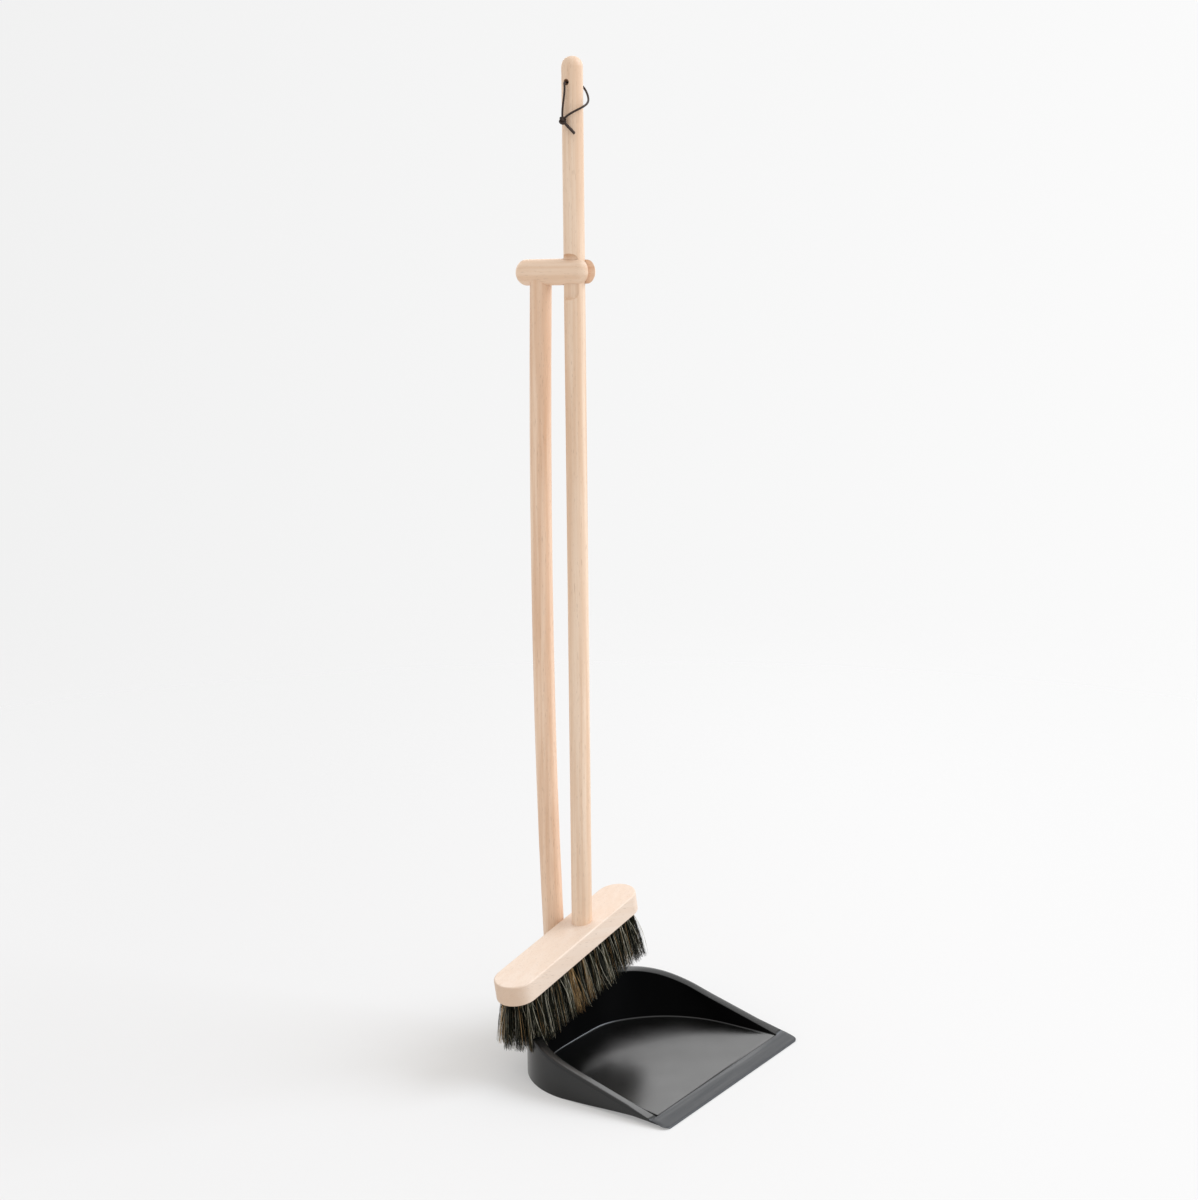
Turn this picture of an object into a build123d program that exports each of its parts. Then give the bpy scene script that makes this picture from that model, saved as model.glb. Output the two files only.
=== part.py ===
from build123d import *
import math
import os

# Standing dustpan and brush.
# Millimetres, +Z up.  The origin is on the floor, at the foot of the pan's handle socket.
# +X runs along the pan's lip, and the lip points towards -Y.

# ---------------------------------------------------------------- driving dimensions
# dustpan moulding
PAN_HALF_WIDTH = 118.6       # outer skirt, across the pan
PAN_BACK_Y = -10.3           # outer face of the back wall
PAN_CORNER_R = 80.3          # rounded rear corners of the skirt
RIM_BAND = 10.8              # width of the rim between outer and inner wall
WALL = 2.5                   # moulding thickness
FLOOR_TOP = 4.9              # upper face of the pan's floor
BASIN_HEIGHT = 65.8          # height of the hollow's cutting shape, well past the rim
WALL_FLARE = 0.59            # how far the lower inner wall leans out per mm of height
RIM_TOP = 50.8               # rim height at the back
RIM_SLOPE = 0.257            # climb of the rim's straight front part
RIM_CREST = [(-109.0, 26.3), (-76.1, 35.7), (-52.5, 43.0), (-30.9, 48.2), (12.3, RIM_TOP)]
FLOOR_FRONT = (108.3, -308.3)     # floor outline, right half, from far past the lip
FLOOR_SIDE = (102.6, -129.5)      # where the side turns into the rear arc
FLOOR_SHOULDER = (73.2, -59.1)    # on the rear arc
FLOOR_BACK = (28.9, -30.9)        # where the arc meets the straight back
LEFT_BACK = (-62.0, -31.2)        # the left rear corner is squarer than the right one
LEFT_SHOULDER = (-91.0, -60.0)
LIP_FRONT_Y = -206.6         # front edge of the rubber lip
LIP_DEPTH = 17.5             # rubber lip, front to back
LIP_EDGE = 1.3               # thickness of the lip's front edge
LIP_CORNER_R = 6.0
TONGUE_WIDTH = 200.0         # floor tongue held in the rubber lip
TONGUE_DEPTH = 9.0
TONGUE_THICK = 1.2
RELIEF = [(-90.0, 0), (-120.0, 1.5), (-150.0, 3.6), (-170.0, 4.6), (-189.1, 3.8), (-207.0, 0)]
RELIEF_X = 109.5             # the side skirts' lower edges are lifted outside this

# handle socket moulded on the pan's back
SOCKET_R = 14.5
SOCKET_TOP = 80.0            # along the handle axis
SOCKET_FLOOR = 9.0
WEB = (6, 16, 36)            # rib between back wall and socket
EARS = (44, 8, 42)           # thick patch of the back wall that carries the socket

# screw through the back of the socket
SCREW_Z = 46.0
SCREW_HEAD_R = 4.0
SCREW_HEAD_HIGH = 2.4
SCREW_SLOT = (9, 1)
SCREW_R = 1.8
SCREW_LENGTH = 14.0

# pan handle: straight in the socket, then bowed in two arcs
PAN_HANDLE_R = 10.4
LEAN_FOOT = 3.0              # degrees off vertical in the socket, leaning back
LEAN_LOW = 0.97              # degrees where the two arcs meet
LEAN_TOP = -1.6              # degrees at the grip, leaning forward
LOW_ARC_R = 6830.0
HIGH_ARC_R = 9360.0
STRAIGHT_FOOT = 80.0
TENON_R = 6.0
TENON_LENGTH = 20.0

# forked grip on top of the pan handle
GRIP_R = 12.4
GRIP_Z = 754.4
GRIP_REAR_Y = 35.5
GRIP_LENGTH = 84.9
GRIP_END_R = 9.6             # rounding of both ends
FORK_HALF_GAP = 5.5

# broom handle
BROOM_Y = -29.35
BROOM_R = 10.0
BROOM_TOP = 950.0
DOME_R = 9.2                 # rounding of the top
NECK_HALF = 5.2              # half thickness left between the two flats
NECK_LOW = 734.8             # lower end of the flats
NECK_HIGH = 764.3            # upper end of the flats
COVE_R = 7.0                 # rounded shoulders at both ends of the flats
EYE_Z = 925.8                # cross hole for the hanging thong
EYE_R = 3.0

# brush block, tilted about Y where the broom handle enters it
BLOCK_Z = 122.7              # top face on the broom handle's axis
BLOCK_TILT = 11.5            # degrees, far end up
BLOCK_NEAR = 129.6           # handle axis to the low end
BLOCK_FAR = 79.3             # handle axis to the high end
BLOCK_WIDTH = 40.7
BLOCK_THICK = 20.2
BLOCK_TOP_EDGE_R = 1.6
BLOCK_LOW_EDGE_R = 0.8
HANDLE_DEPTH = 11.0          # broom handle let into the block
BRAD_DEPTH = 7.0             # brad below the block's top face
BRAD_R = 0.8
BRAD_HEAD_R = 1.6
BRAD_LENGTH = 30.0

# bristle tufts
TUFT_ROOT_R = 2.4
TUFT_TIP_R = 5.0
TUFT_HOLE = 6.5              # depth of each tuft hole
TUFT_PLUG = 5.9              # tuft's length inside its hole
BRISTLE_LENGTH = 47.3
ROW_ROOTS = {"front_outer": -13.5, "front_inner": -4.5, "rear_inner": 4.5, "rear_outer": 13.5}
ROW_SPREAD = 1.44            # tip spacing over root spacing, across the block
LENGTH_SPREAD = 1.08         # the same along the block
INNER_TUFTS = 18
ROW_END_GAP = 13.0           # block end to the first tuft
RIM_TOUCH = 1.5              # clearance where tufts are pushed up over the pan's rim
STAPLE = (1.6, 4.2, 0.5)     # wire anchor in the end of each hole

# leather thong: each cord runs out of the cross hole, down to the knot and on as a tail
THONG_R = 1.0
KNOT_R = 3.9
KNOT = (-14.8, -28.9, 891.0)
NEAR_ROUTE = [(-10, -29.35, 925.8), (-12.7, -29.35, 925.8), (-14.1, -31.0, 921.8), (-13.9, -30.6, 915.8),
              (-14.1, -29.2, 907.7), (-14.5, -28.3, 899.8), (-14.7, -28.5, 892.7), (-14.2, -32.0, 886.9),
              (-13.2, -36.8, 882.6), (-12.3, -40.2, 878.9)]
FAR_ROUTE = [(10, -29.35, 925.8), (12.9, -29.35, 925.8), (14.7, -31.9, 922.8), (12.8, -36.8, 917.6),
             (8.4, -41.9, 910.8), (1.1, -45.2, 906.0), (-6.2, -43.8, 902.2), (-12.0, -38.5, 898.5),
             (-14.6, -32.7, 894.8), (-14.9, -28.5, 891.2), (-12.0, -31.6, 887.2), (-11.0, -35.4, 883.6),
             (-10.3, -38.9, 879.9)]


# ---------------------------------------------------------------- helpers
def round_backed(half_width, back_y, corner_r, front_y):
    """Outline with a straight front, straight sides and two large round rear corners."""
    body = Pos(0, (back_y + front_y) / 2) * Rectangle(2 * half_width, back_y - front_y)
    return fillet(body.vertices().group_by(Axis.Y)[-1], corner_r)


def lean(degrees):
    """Unit vector off vertical by this much, towards +Y."""
    return Vector(0, math.sin(math.radians(degrees)), math.cos(math.radians(degrees)))


def save(name, shape):
    """Write one node and keep its label."""
    shape.label = name
    export_step(shape, f"parts/{name}.step")


# ---------------------------------------------------------------- dustpan moulding
def rim_side(drop):
    """Side view of the space below the rim, lowered by drop."""
    crest = [(y, z - drop) for y, z in RIM_CREST]
    run = crest[0][0] - LIP_FRONT_Y + LIP_DEPTH
    foot = (crest[0][0] - run, crest[0][1] - RIM_SLOPE * run)
    top = Line(foot, crest[0]) + Spline(*crest, tangents=[(1, RIM_SLOPE), (1, 0)])
    under = Polyline(crest[-1], (crest[-1][0], -60), (foot[0], -60), foot)
    return extrude(Plane.YZ * make_face(top + under), amount=200, both=True)


def pan_floor(gap):
    """Outline of the floor, grown by gap, running out past the lip."""
    left_side, left_front = (-FLOOR_SIDE[0], FLOOR_SIDE[1]), (-FLOOR_FRONT[0], FLOOR_FRONT[1])
    right = Line(FLOOR_FRONT, FLOOR_SIDE) + ThreePointArc(FLOOR_SIDE, FLOOR_SHOULDER, FLOOR_BACK)
    left = ThreePointArc(LEFT_BACK, LEFT_SHOULDER, left_side) + Line(left_side, left_front)
    outline = make_face(right + Line(FLOOR_BACK, LEFT_BACK) + left + Line(left_front, FLOOR_FRONT))
    return offset(outline, gap, kind=Kind.INTERSECTION) if gap else outline


def basin(gap):
    """Hollow of the pan, grown by gap on every side: flared low down, then upright."""
    low = Pos(0, 0, FLOOR_TOP - max(gap, 0)) * pan_floor(gap)
    high = Pos(0, 0, FLOOR_TOP + BASIN_HEIGHT) * pan_floor(gap + WALL_FLARE * BASIN_HEIGHT)
    inner = round_backed(PAN_HALF_WIDTH - RIM_BAND + gap, PAN_BACK_Y - RIM_BAND + gap,
                         PAN_CORNER_R - RIM_BAND + gap, FLOOR_FRONT[1])
    upright = extrude(Pos(0, 0, FLOOR_TOP) * inner, amount=2 * BASIN_HEIGHT, both=True)
    return loft([low, high]) & upright


def handle_line():
    """Centre line of the pan handle, in the plane X = 0."""
    foot = Line((0, 0, 0), lean(LEAN_FOOT) * STRAIGHT_FOOT)
    toward_front = Plane(origin=(0, 0, 0), x_dir=(0, 1, 0), z_dir=(1, 0, 0))
    start = toward_front.to_local_coords(foot @ 1)
    low = JernArc((start.X, start.Y), (math.sin(math.radians(LEAN_FOOT)), math.cos(math.radians(LEAN_FOOT))),
                  LOW_ARC_R, LEAN_FOOT - LEAN_LOW)
    high = JernArc(low @ 1, low % 1, HIGH_ARC_R, LEAN_LOW - LEAN_TOP)
    return foot, toward_front * low, toward_front * high


def socket_plane(height):
    """Plane square to the handle's foot, this far up its axis."""
    axis = lean(LEAN_FOOT)
    return Plane(origin=axis * height, x_dir=(1, 0, 0), z_dir=axis)


def handle_socket():
    """Moulded socket behind the back wall, with its foot cut flat on the floor."""
    tube = extrude(socket_plane(-6) * Circle(SOCKET_R), amount=SOCKET_TOP + 6)
    web = Pos(0, -WEB[1] / 2, WEB[2] / 2) * Box(*WEB)
    ears = Pos(0, PAN_BACK_Y + EARS[1] / 2 - 0.5, EARS[2] / 2) * Box(*EARS)
    above_floor = Pos(0, 0, 100) * Box(300, 300, 200)
    return (tube + web + ears) & above_floor


def socket_bore():
    return extrude(socket_plane(SOCKET_FLOOR) * Circle(PAN_HANDLE_R), amount=SOCKET_TOP)


def lip_tongue():
    """Front edge of the floor that the rubber lip is pushed on to."""
    middle = LIP_FRONT_Y + LIP_DEPTH - TONGUE_DEPTH / 2 + 2
    return Pos(0, middle, FLOOR_TOP - 1.6) * Box(TONGUE_WIDTH, TONGUE_DEPTH, TONGUE_THICK)


def side_relief():
    """Space under both side skirts, whose lower edges lift off the floor towards the lip."""
    side = extrude(Plane.YZ * make_face(Polyline(*RELIEF, close=True)), amount=2 * PAN_HALF_WIDTH, both=True)
    return side - Pos(0, -100, 0) * Box(2 * RELIEF_X, 300, 50)


def pan_shell():
    front = LIP_FRONT_Y + LIP_DEPTH
    outer = extrude(round_backed(PAN_HALF_WIDTH, PAN_BACK_Y, PAN_CORNER_R, front), amount=80)
    inner = extrude(round_backed(PAN_HALF_WIDTH - WALL, PAN_BACK_Y - WALL, PAN_CORNER_R - WALL, front + WALL),
                    amount=80)
    shell = (outer & rim_side(0)) - basin(0)
    shell -= (inner & rim_side(WALL)) - basin(WALL)
    shell += (handle_socket() - basin(0)) + lip_tongue()
    return shell - socket_bore() - socket_screw_space() - side_relief()


# ---------------------------------------------------------------- rubber lip
def rubber_lip():
    """Wedge strip with rounded front corners, slotted for the floor's tongue."""
    front, back = LIP_FRONT_Y, LIP_FRONT_Y + LIP_DEPTH
    side = make_face(Polyline((front, 0), (back, 0), (back, FLOOR_TOP), (front, LIP_EDGE), (front, 0)))
    strip = extrude(Plane.YZ * side, amount=PAN_HALF_WIDTH, both=True)
    plan = Pos(0, (front + back) / 2) * Rectangle(2 * PAN_HALF_WIDTH, LIP_DEPTH)
    plan = fillet(plan.vertices().group_by(Axis.Y)[0], LIP_CORNER_R)
    return (strip & extrude(plan, amount=10)) - lip_tongue() - side_relief()


# ---------------------------------------------------------------- socket screw
def screw_plane():
    """Plane on the back of the socket, its normal pointing away from the handle."""
    axis = lean(LEAN_FOOT)
    back = Vector(0, axis.Z, -axis.Y)
    return Plane(origin=axis * SCREW_Z + back * (SOCKET_R - 1.0), x_dir=(1, 0, 0), z_dir=back)


def socket_screw_space():
    """Flat seat and clearance hole for the screw, through the socket wall only."""
    seat = extrude(screw_plane() * Circle(SCREW_HEAD_R + 0.5), amount=4)
    return seat + extrude(screw_plane() * Circle(SCREW_R), amount=-4)


def socket_screw():
    head = extrude(screw_plane() * Circle(SCREW_HEAD_R), amount=SCREW_HEAD_HIGH)
    head = fillet(head.edges().group_by(Axis.Y)[-1], 1.4)
    groove = screw_plane() * Rectangle(*SCREW_SLOT)
    slot = extrude(groove, amount=3) - extrude(groove, amount=1.4)
    return head + extrude(screw_plane() * Circle(SCREW_R), amount=-SCREW_LENGTH) - slot


# ---------------------------------------------------------------- pan handle and forked grip
def grip_cylinder():
    return extrude(Plane(origin=(0, GRIP_REAR_Y, GRIP_Z), z_dir=(0, -1, 0)) * Circle(GRIP_R), amount=GRIP_LENGTH)


def tenon():
    high = handle_line()[2]
    return extrude(Plane(origin=high @ 1, x_dir=(1, 0, 0), z_dir=high % 1) * Circle(TENON_R), amount=TENON_LENGTH)


def pan_handle():
    """Bowed rod, coped to sit against the grip, with a tenon let into it."""
    foot, low, high = handle_line()
    rod = sweep(Plane(origin=foot @ 0, x_dir=(1, 0, 0), z_dir=foot % 0) * Circle(PAN_HANDLE_R),
                path=Wire([foot, low, high]))
    end = Plane(origin=high @ 1, x_dir=(1, 0, 0), z_dir=high % 1)
    rod += extrude(end * Circle(PAN_HANDLE_R), amount=GRIP_Z - (high @ 1).Z)
    rod -= socket_plane(SOCKET_FLOOR) * Pos(0, 0, -50) * Box(60, 60, 100)
    screw_hole = extrude(screw_plane() * Circle(SCREW_R), amount=-SCREW_LENGTH)
    return rod - grip_cylinder() + tenon() - screw_hole


def fork_grip():
    """Round bar with round ends, slotted from the front for the broom's neck."""
    bar = grip_cylinder()
    bar = fillet(bar.edges().filter_by(GeomType.CIRCLE), GRIP_END_R)
    neck_back = BROOM_Y + math.sqrt(BROOM_R ** 2 - NECK_HALF ** 2)
    slot_end = neck_back + 0.3 - math.sqrt(FORK_HALF_GAP ** 2 - NECK_HALF ** 2)
    slot = Pos(0, slot_end - 50) * Rectangle(2 * FORK_HALF_GAP, 100) + Pos(0, slot_end) * Circle(FORK_HALF_GAP)
    return bar - extrude(Pos(0, 0, GRIP_Z - 20) * slot, amount=40) - tenon()


# ---------------------------------------------------------------- broom handle
def broom_foot():
    """Height of the broom handle's lower end, in the block."""
    return BLOCK_Z - HANDLE_DEPTH


def broom_rod(top):
    return extrude(Pos(0, BROOM_Y, broom_foot()) * Circle(BROOM_R), amount=top - broom_foot())


def broom_handle():
    rod = fillet(broom_rod(BROOM_TOP).edges().group_by(Axis.Z)[-1], DOME_R)
    height = NECK_HIGH - NECK_LOW
    for side in (-1, 1):
        cutter = Pos(side * (NECK_HALF + COVE_R), (NECK_LOW + NECK_HIGH) / 2) * Rot(0, 0, 90)
        cutter = Plane.XZ * cutter * SlotCenterToCenter(height, 2 * COVE_R)
        rod -= Pos(0, BROOM_Y, 0) * extrude(cutter, amount=20, both=True)
    rod -= Pos(0, BROOM_Y, EYE_Z) * Rot(0, 90, 0) * Cylinder(EYE_R, 40)
    return rod - brad()


# ---------------------------------------------------------------- brush block
def block_place():
    """Block frame: origin where the handle axis meets the top face, X up along the block."""
    return Pos(0, BROOM_Y, BLOCK_Z) * Rot(0, -BLOCK_TILT, 0)


def brad():
    """Thin nail driven from the block's rear edge into the broom handle."""
    rear = BLOCK_WIDTH / 2 - 0.3
    shank = Pos(0, rear - BRAD_LENGTH / 2, -BRAD_DEPTH) * Rot(90, 0, 0) * Cylinder(BRAD_R, BRAD_LENGTH)
    head = Pos(0, rear - 0.4, -BRAD_DEPTH) * Rot(90, 0, 0) * Cylinder(BRAD_HEAD_R, 0.8)
    return block_place() * (shank + head)


def brush_block():
    length = BLOCK_NEAR + BLOCK_FAR
    plan = Pos((BLOCK_FAR - BLOCK_NEAR) / 2, 0, -BLOCK_THICK) * SlotOverall(length, BLOCK_WIDTH)
    block = extrude(plan, amount=BLOCK_THICK)
    block = fillet(block.edges().group_by(Axis.Z)[-1], BLOCK_TOP_EDGE_R)
    block = fillet(block.edges().group_by(Axis.Z)[0], BLOCK_LOW_EDGE_R)
    holes = [Pos(x, y, -BLOCK_THICK + TUFT_HOLE / 2) * Cylinder(TUFT_ROOT_R, TUFT_HOLE)
             for row in ROW_ROOTS for x, y in tuft_roots(row)]
    block = block_place() * (block - holes)
    return block - broom_rod(BROOM_TOP) - brad()


# ---------------------------------------------------------------- bristles and their anchors
def tuft_roots(row):
    """Centres of one row's tuft holes, in the block frame; outer rows sit between inner ones."""
    first, last = -BLOCK_NEAR + ROW_END_GAP, BLOCK_FAR - ROW_END_GAP
    pitch = (last - first) / (INNER_TUFTS - 1)
    outer = row.endswith("outer")
    count = INNER_TUFTS - 1 if outer else INNER_TUFTS
    start = first + pitch / 2 if outer else first
    return [(start + i * pitch, ROW_ROOTS[row]) for i in range(count)]


def tuft(x, y):
    """One tuft: a plug in its hole, then fanning out to the tip."""
    middle = (BLOCK_FAR - BLOCK_NEAR) / 2
    tip_x = middle + (x - middle) * LENGTH_SPREAD
    plug = Pos(x, y, -BLOCK_THICK + TUFT_PLUG / 2) * Cylinder(TUFT_ROOT_R, TUFT_PLUG)
    root = Pos(x, y, -BLOCK_THICK) * Circle(TUFT_ROOT_R)
    tip = Pos(tip_x, y * ROW_SPREAD, -BLOCK_THICK - BRISTLE_LENGTH) * Circle(TUFT_TIP_R)
    return block_place() * (plug + loft([root, tip]))


def rim_guard():
    """Everything the tufts have to stay out of: the pan up to its rim, its socket and its handle."""
    slab = Pos(0, -60, RIM_TOP / 2) * Box(400, 300, RIM_TOP + 2 * RIM_TOUCH)
    socket = extrude(socket_plane(0) * Circle(SOCKET_R + RIM_TOUCH), amount=SOCKET_TOP + RIM_TOUCH)
    rod = extrude(socket_plane(0) * Circle(PAN_HANDLE_R + RIM_TOUCH), amount=2 * SOCKET_TOP)
    return slab - basin(-RIM_TOUCH) + socket + rod


def bristle_row(row, guard):
    tufts = []
    for x, y in tuft_roots(row):
        trimmed = (tuft(x, y) - guard).solids().sort_by(SortBy.VOLUME)[-1]
        tufts.append(Part(trimmed.wrapped))
    return Compound(children=tufts)


def tuft_anchors():
    """Flat wire staples pressed across the tuft holes' ends."""
    staples = []
    for row in ROW_ROOTS:
        for x, y in tuft_roots(row):
            staple = Pos(x, y, -BLOCK_THICK + TUFT_HOLE - 0.3) * Box(*STAPLE)
            staples.append(Part((block_place() * staple).wrapped))
    return Compound(children=staples)


# ---------------------------------------------------------------- leather thong
def cord_radii(route):
    """Bend radius at each inner point: 0.45 of the shorter run over the tangent of half the turn."""
    points = [Vector(*p) for p in route]
    radii = []
    for a, b, c in zip(points, points[1:], points[2:]):
        turn = math.radians((b - a).get_angle(c - b))
        radii.append(0.45 * min((b - a).length, (c - b).length) / math.tan(turn / 2))
    return radii


def cord(name, route):
    """Round cord along the route's straight runs and tangent arcs."""
    radii = cord_radii(route)
    line = FilletPolyline(*route, radius=radii)
    tube = sweep(Plane(origin=line @ 0, z_dir=line % 0) * Circle(THONG_R), path=line)
    expected = math.pi * THONG_R ** 2 * line.length
    print(name, "length", round(line.length, 2), "volume ratio", round(tube.volume / expected, 4),
          "radii", [round(r, 1) for r in radii])
    return tube


def thong_knot():
    """Overhand knot pulled tight, as a rounded lump."""
    lump = Pos(*KNOT) * Rot(20, 0, 0) * Sphere(KNOT_R)
    return scale(lump, by=(0.95, 1.0, 1.0))


def thong_core():
    """Stretch of the thong inside the cross hole."""
    return Pos(0, BROOM_Y, EYE_Z) * Rot(0, 90, 0) * Cylinder(THONG_R, 2 * BROOM_R)


# ---------------------------------------------------------------- write every node
def main():
    os.makedirs("parts", exist_ok=True)
    save("pan_shell", pan_shell())
    save("rubber_lip", rubber_lip())
    save("socket_screw", socket_screw())
    save("pan_handle", pan_handle())
    save("fork_grip", fork_grip())
    save("broom_handle", broom_handle())
    save("brush_block", brush_block())
    save("handle_brad", brad())
    guard = rim_guard()
    for row in ROW_ROOTS:
        save(f"bristles_{row}", bristle_row(row, guard))
    save("tuft_anchors", tuft_anchors())
    save("thong_near", cord("thong_near", NEAR_ROUTE))
    save("thong_far", cord("thong_far", FAR_ROUTE))
    save("thong_core", thong_core())
    save("thong_knot", thong_knot())


main()
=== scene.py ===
import math
import random

import bmesh
import bpy
from mathutils import Matrix, Vector


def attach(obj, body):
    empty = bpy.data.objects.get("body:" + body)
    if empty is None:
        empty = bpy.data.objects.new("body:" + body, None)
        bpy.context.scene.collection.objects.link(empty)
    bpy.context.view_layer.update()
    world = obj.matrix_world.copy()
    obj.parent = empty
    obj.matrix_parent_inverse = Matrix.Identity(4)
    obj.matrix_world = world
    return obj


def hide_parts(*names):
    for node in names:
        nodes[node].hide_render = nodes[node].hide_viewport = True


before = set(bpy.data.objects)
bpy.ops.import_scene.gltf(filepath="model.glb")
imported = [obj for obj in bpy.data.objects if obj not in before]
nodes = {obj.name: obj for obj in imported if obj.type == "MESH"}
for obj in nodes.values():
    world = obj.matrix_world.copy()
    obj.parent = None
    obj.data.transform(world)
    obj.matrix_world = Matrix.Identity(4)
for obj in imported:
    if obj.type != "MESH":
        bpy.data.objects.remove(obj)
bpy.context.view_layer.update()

random.seed(7)

QUARTER = math.pi / 2

# ------------------------------------------------------------------ dimensions, in metres
# broom: the handle's y; the block's top at the handle, its tilt, reach to either side and thickness
BROOM_Y, BLOCK_Z, BLOCK_TILT = -0.02935, 0.1227, math.radians(11.5)
BLOCK_NEAR, BLOCK_FAR, BLOCK_THICK = 0.1296, 0.0793, 0.0202
# dustpan: half width, back face, rear corners, rim between the walls, wall, floor and lip
PAN_HALF, PAN_BACK_Y, CORNER_R = 0.1186, -0.0103, 0.0803
RIM_BAND, WALL, FLOOR_TOP = 0.0108, 0.0025, 0.0049
LIP_FRONT_Y, LIP_REAR_Y = -0.2066, -0.1891
# handle socket behind the pan: radius, top and lean
SOCKET_R, SOCKET_TOP, SOCKET_LEAN = 0.0145, 0.080, math.radians(3.0)
# leather thong's diameter
THONG = 0.002


# ------------------------------------------------------------------ camera
CAMERA_PLACE = (-1.3721, -1.03437, 0.74155)
CAMERA_YAW, CAMERA_PITCH, CAMERA_ROLL = math.radians(35.534), math.radians(8.423), 0.00977
LENS, SHIFT_Y = 54.01, -0.04


def make_camera():
    """Camera where the photo was taken from; yaw is counted from +X and pitch downwards."""
    data = bpy.data.cameras.new("camera")
    data.lens = LENS
    data.shift_y = SHIFT_Y
    camera = bpy.data.objects.new("camera", data)
    bpy.context.scene.collection.objects.link(camera)
    level, fall = math.cos(CAMERA_PITCH), math.sin(CAMERA_PITCH)
    forward = Vector((math.cos(CAMERA_YAW) * level, math.sin(CAMERA_YAW) * level, -fall))
    right = Vector((math.sin(CAMERA_YAW), -math.cos(CAMERA_YAW), 0))
    up = right.cross(forward)
    across = right * math.cos(CAMERA_ROLL) - up * math.sin(CAMERA_ROLL)
    above = up * math.cos(CAMERA_ROLL) + right * math.sin(CAMERA_ROLL)
    turn = Matrix((across, above, -forward)).transposed()
    camera.matrix_world = Matrix.Translation(CAMERA_PLACE) @ turn.to_4x4()
    bpy.context.scene.camera = camera


make_camera()


# ------------------------------------------------------------------ piece helpers
def add(name, data, body, replaces, materials=()):
    """A piece of the visual model that rides on a body, and the CAD nodes it stands for."""
    piece = bpy.data.objects.new(name, data)
    bpy.context.scene.collection.objects.link(piece)
    for material in materials:
        data.materials.append(material)
    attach(piece, body)
    if replaces:
        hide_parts(*replaces)
    return piece


def mesh_from(name, points, faces, smooth=True):
    """Mesh of these points and faces."""
    mesh = bpy.data.meshes.new(name)
    mesh.from_pydata([tuple(p) for p in points], [], faces)
    mesh.polygons.foreach_set("use_smooth", [smooth] * len(mesh.polygons))
    mesh.update()
    return mesh


def tube_curve(name, route, diameter):
    """Smooth NURBS cord through the neighbourhood of the route's points."""
    curve = bpy.data.curves.new(name, "CURVE")
    curve.dimensions = "3D"
    curve.bevel_depth = diameter / 2
    curve.bevel_resolution = 4
    curve.resolution_u = 12
    curve.use_fill_caps = True
    spline = curve.splines.new("NURBS")
    spline.points.add(len(route) - 1)
    for point, place in zip(spline.points, route):
        point.co = (*place, 1)
    spline.order_u = 3
    spline.use_endpoint_u = True
    return curve


# ------------------------------------------------------------------ node helpers
class Nodes:
    """A material's node tree, with short calls for the few node kinds used here."""

    def __init__(self, name, roughness, specular=0.5):
        self.material = bpy.data.materials.new(name)
        self.material.use_nodes = True
        self.tree = self.material.node_tree
        self.shader = self.tree.nodes["Principled BSDF"]
        self.shader.inputs["Roughness"].default_value = roughness
        self.shader.inputs["Specular IOR Level"].default_value = specular
        coordinates = self.tree.nodes.new("ShaderNodeTexCoord")
        self.place, self.facing = coordinates.outputs["Object"], coordinates.outputs["Normal"]

    def link(self, source, target):
        """Feed an output socket into an input socket."""
        self.tree.links.new(source, target)

    def mapped(self, scale, turn=(0, 0, 0)):
        """Object coordinates turned and then scaled."""
        first = self.tree.nodes.new("ShaderNodeMapping")
        first.vector_type = "POINT"
        first.inputs["Rotation"].default_value = turn
        self.link(self.place, first.inputs["Vector"])
        second = self.tree.nodes.new("ShaderNodeMapping")
        second.inputs["Scale"].default_value = scale
        self.link(first.outputs["Vector"], second.inputs["Vector"])
        return second.outputs["Vector"]

    def along(self, vector, direction):
        """Component of a vector in one direction."""
        node = self.tree.nodes.new("ShaderNodeVectorMath")
        node.operation = "DOT_PRODUCT"
        node.inputs[1].default_value = direction
        self.link(vector, node.inputs[0])
        return node.outputs["Value"]

    def noise(self, vector, scale, detail, distortion=0.0):
        """Noise pattern at a place."""
        node = self.tree.nodes.new("ShaderNodeTexNoise")
        node.inputs["Scale"].default_value = scale
        node.inputs["Detail"].default_value = detail
        node.inputs["Distortion"].default_value = distortion
        self.link(vector, node.inputs["Vector"])
        return node.outputs["Fac"]

    def ramp(self, value, low, high, bottom=0.0, top=1.0):
        """Smooth step of value from low..high to bottom..top."""
        node = self.tree.nodes.new("ShaderNodeMapRange")
        node.interpolation_type = "SMOOTHSTEP"
        limits = {"From Min": low, "From Max": high, "To Min": bottom, "To Max": top}
        for socket, number in limits.items():
            node.inputs[socket].default_value = number
        self.link(value, node.inputs["Value"])
        return node.outputs["Result"]

    def mix(self, amount, first, second):
        """Blend of two colours, each a tuple or an output socket."""
        node = self.tree.nodes.new("ShaderNodeMix")
        node.data_type = "RGBA"
        for colour, socket in ((first, node.inputs[6]), (second, node.inputs[7])):
            if isinstance(colour, tuple):
                socket.default_value = (*colour, 1.0)
            else:
                self.link(colour, socket)
        self.link(amount, node.inputs[0])
        return node.outputs[2]

    def bump(self, height, distance):
        """Relief of this depth in the surface."""
        node = self.tree.nodes.new("ShaderNodeBump")
        node.inputs["Distance"].default_value = distance
        self.link(height, node.inputs["Height"])
        self.link(node.outputs["Normal"], self.shader.inputs["Normal"])


def srgb(red, green, blue):
    """Linear colour of an 8-bit display colour."""
    shares = [c / 255 for c in (red, green, blue)]
    return tuple(((c + 0.055) / 1.055) ** 2.4 if c > 0.04 else c / 12.92 for c in shares)


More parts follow.
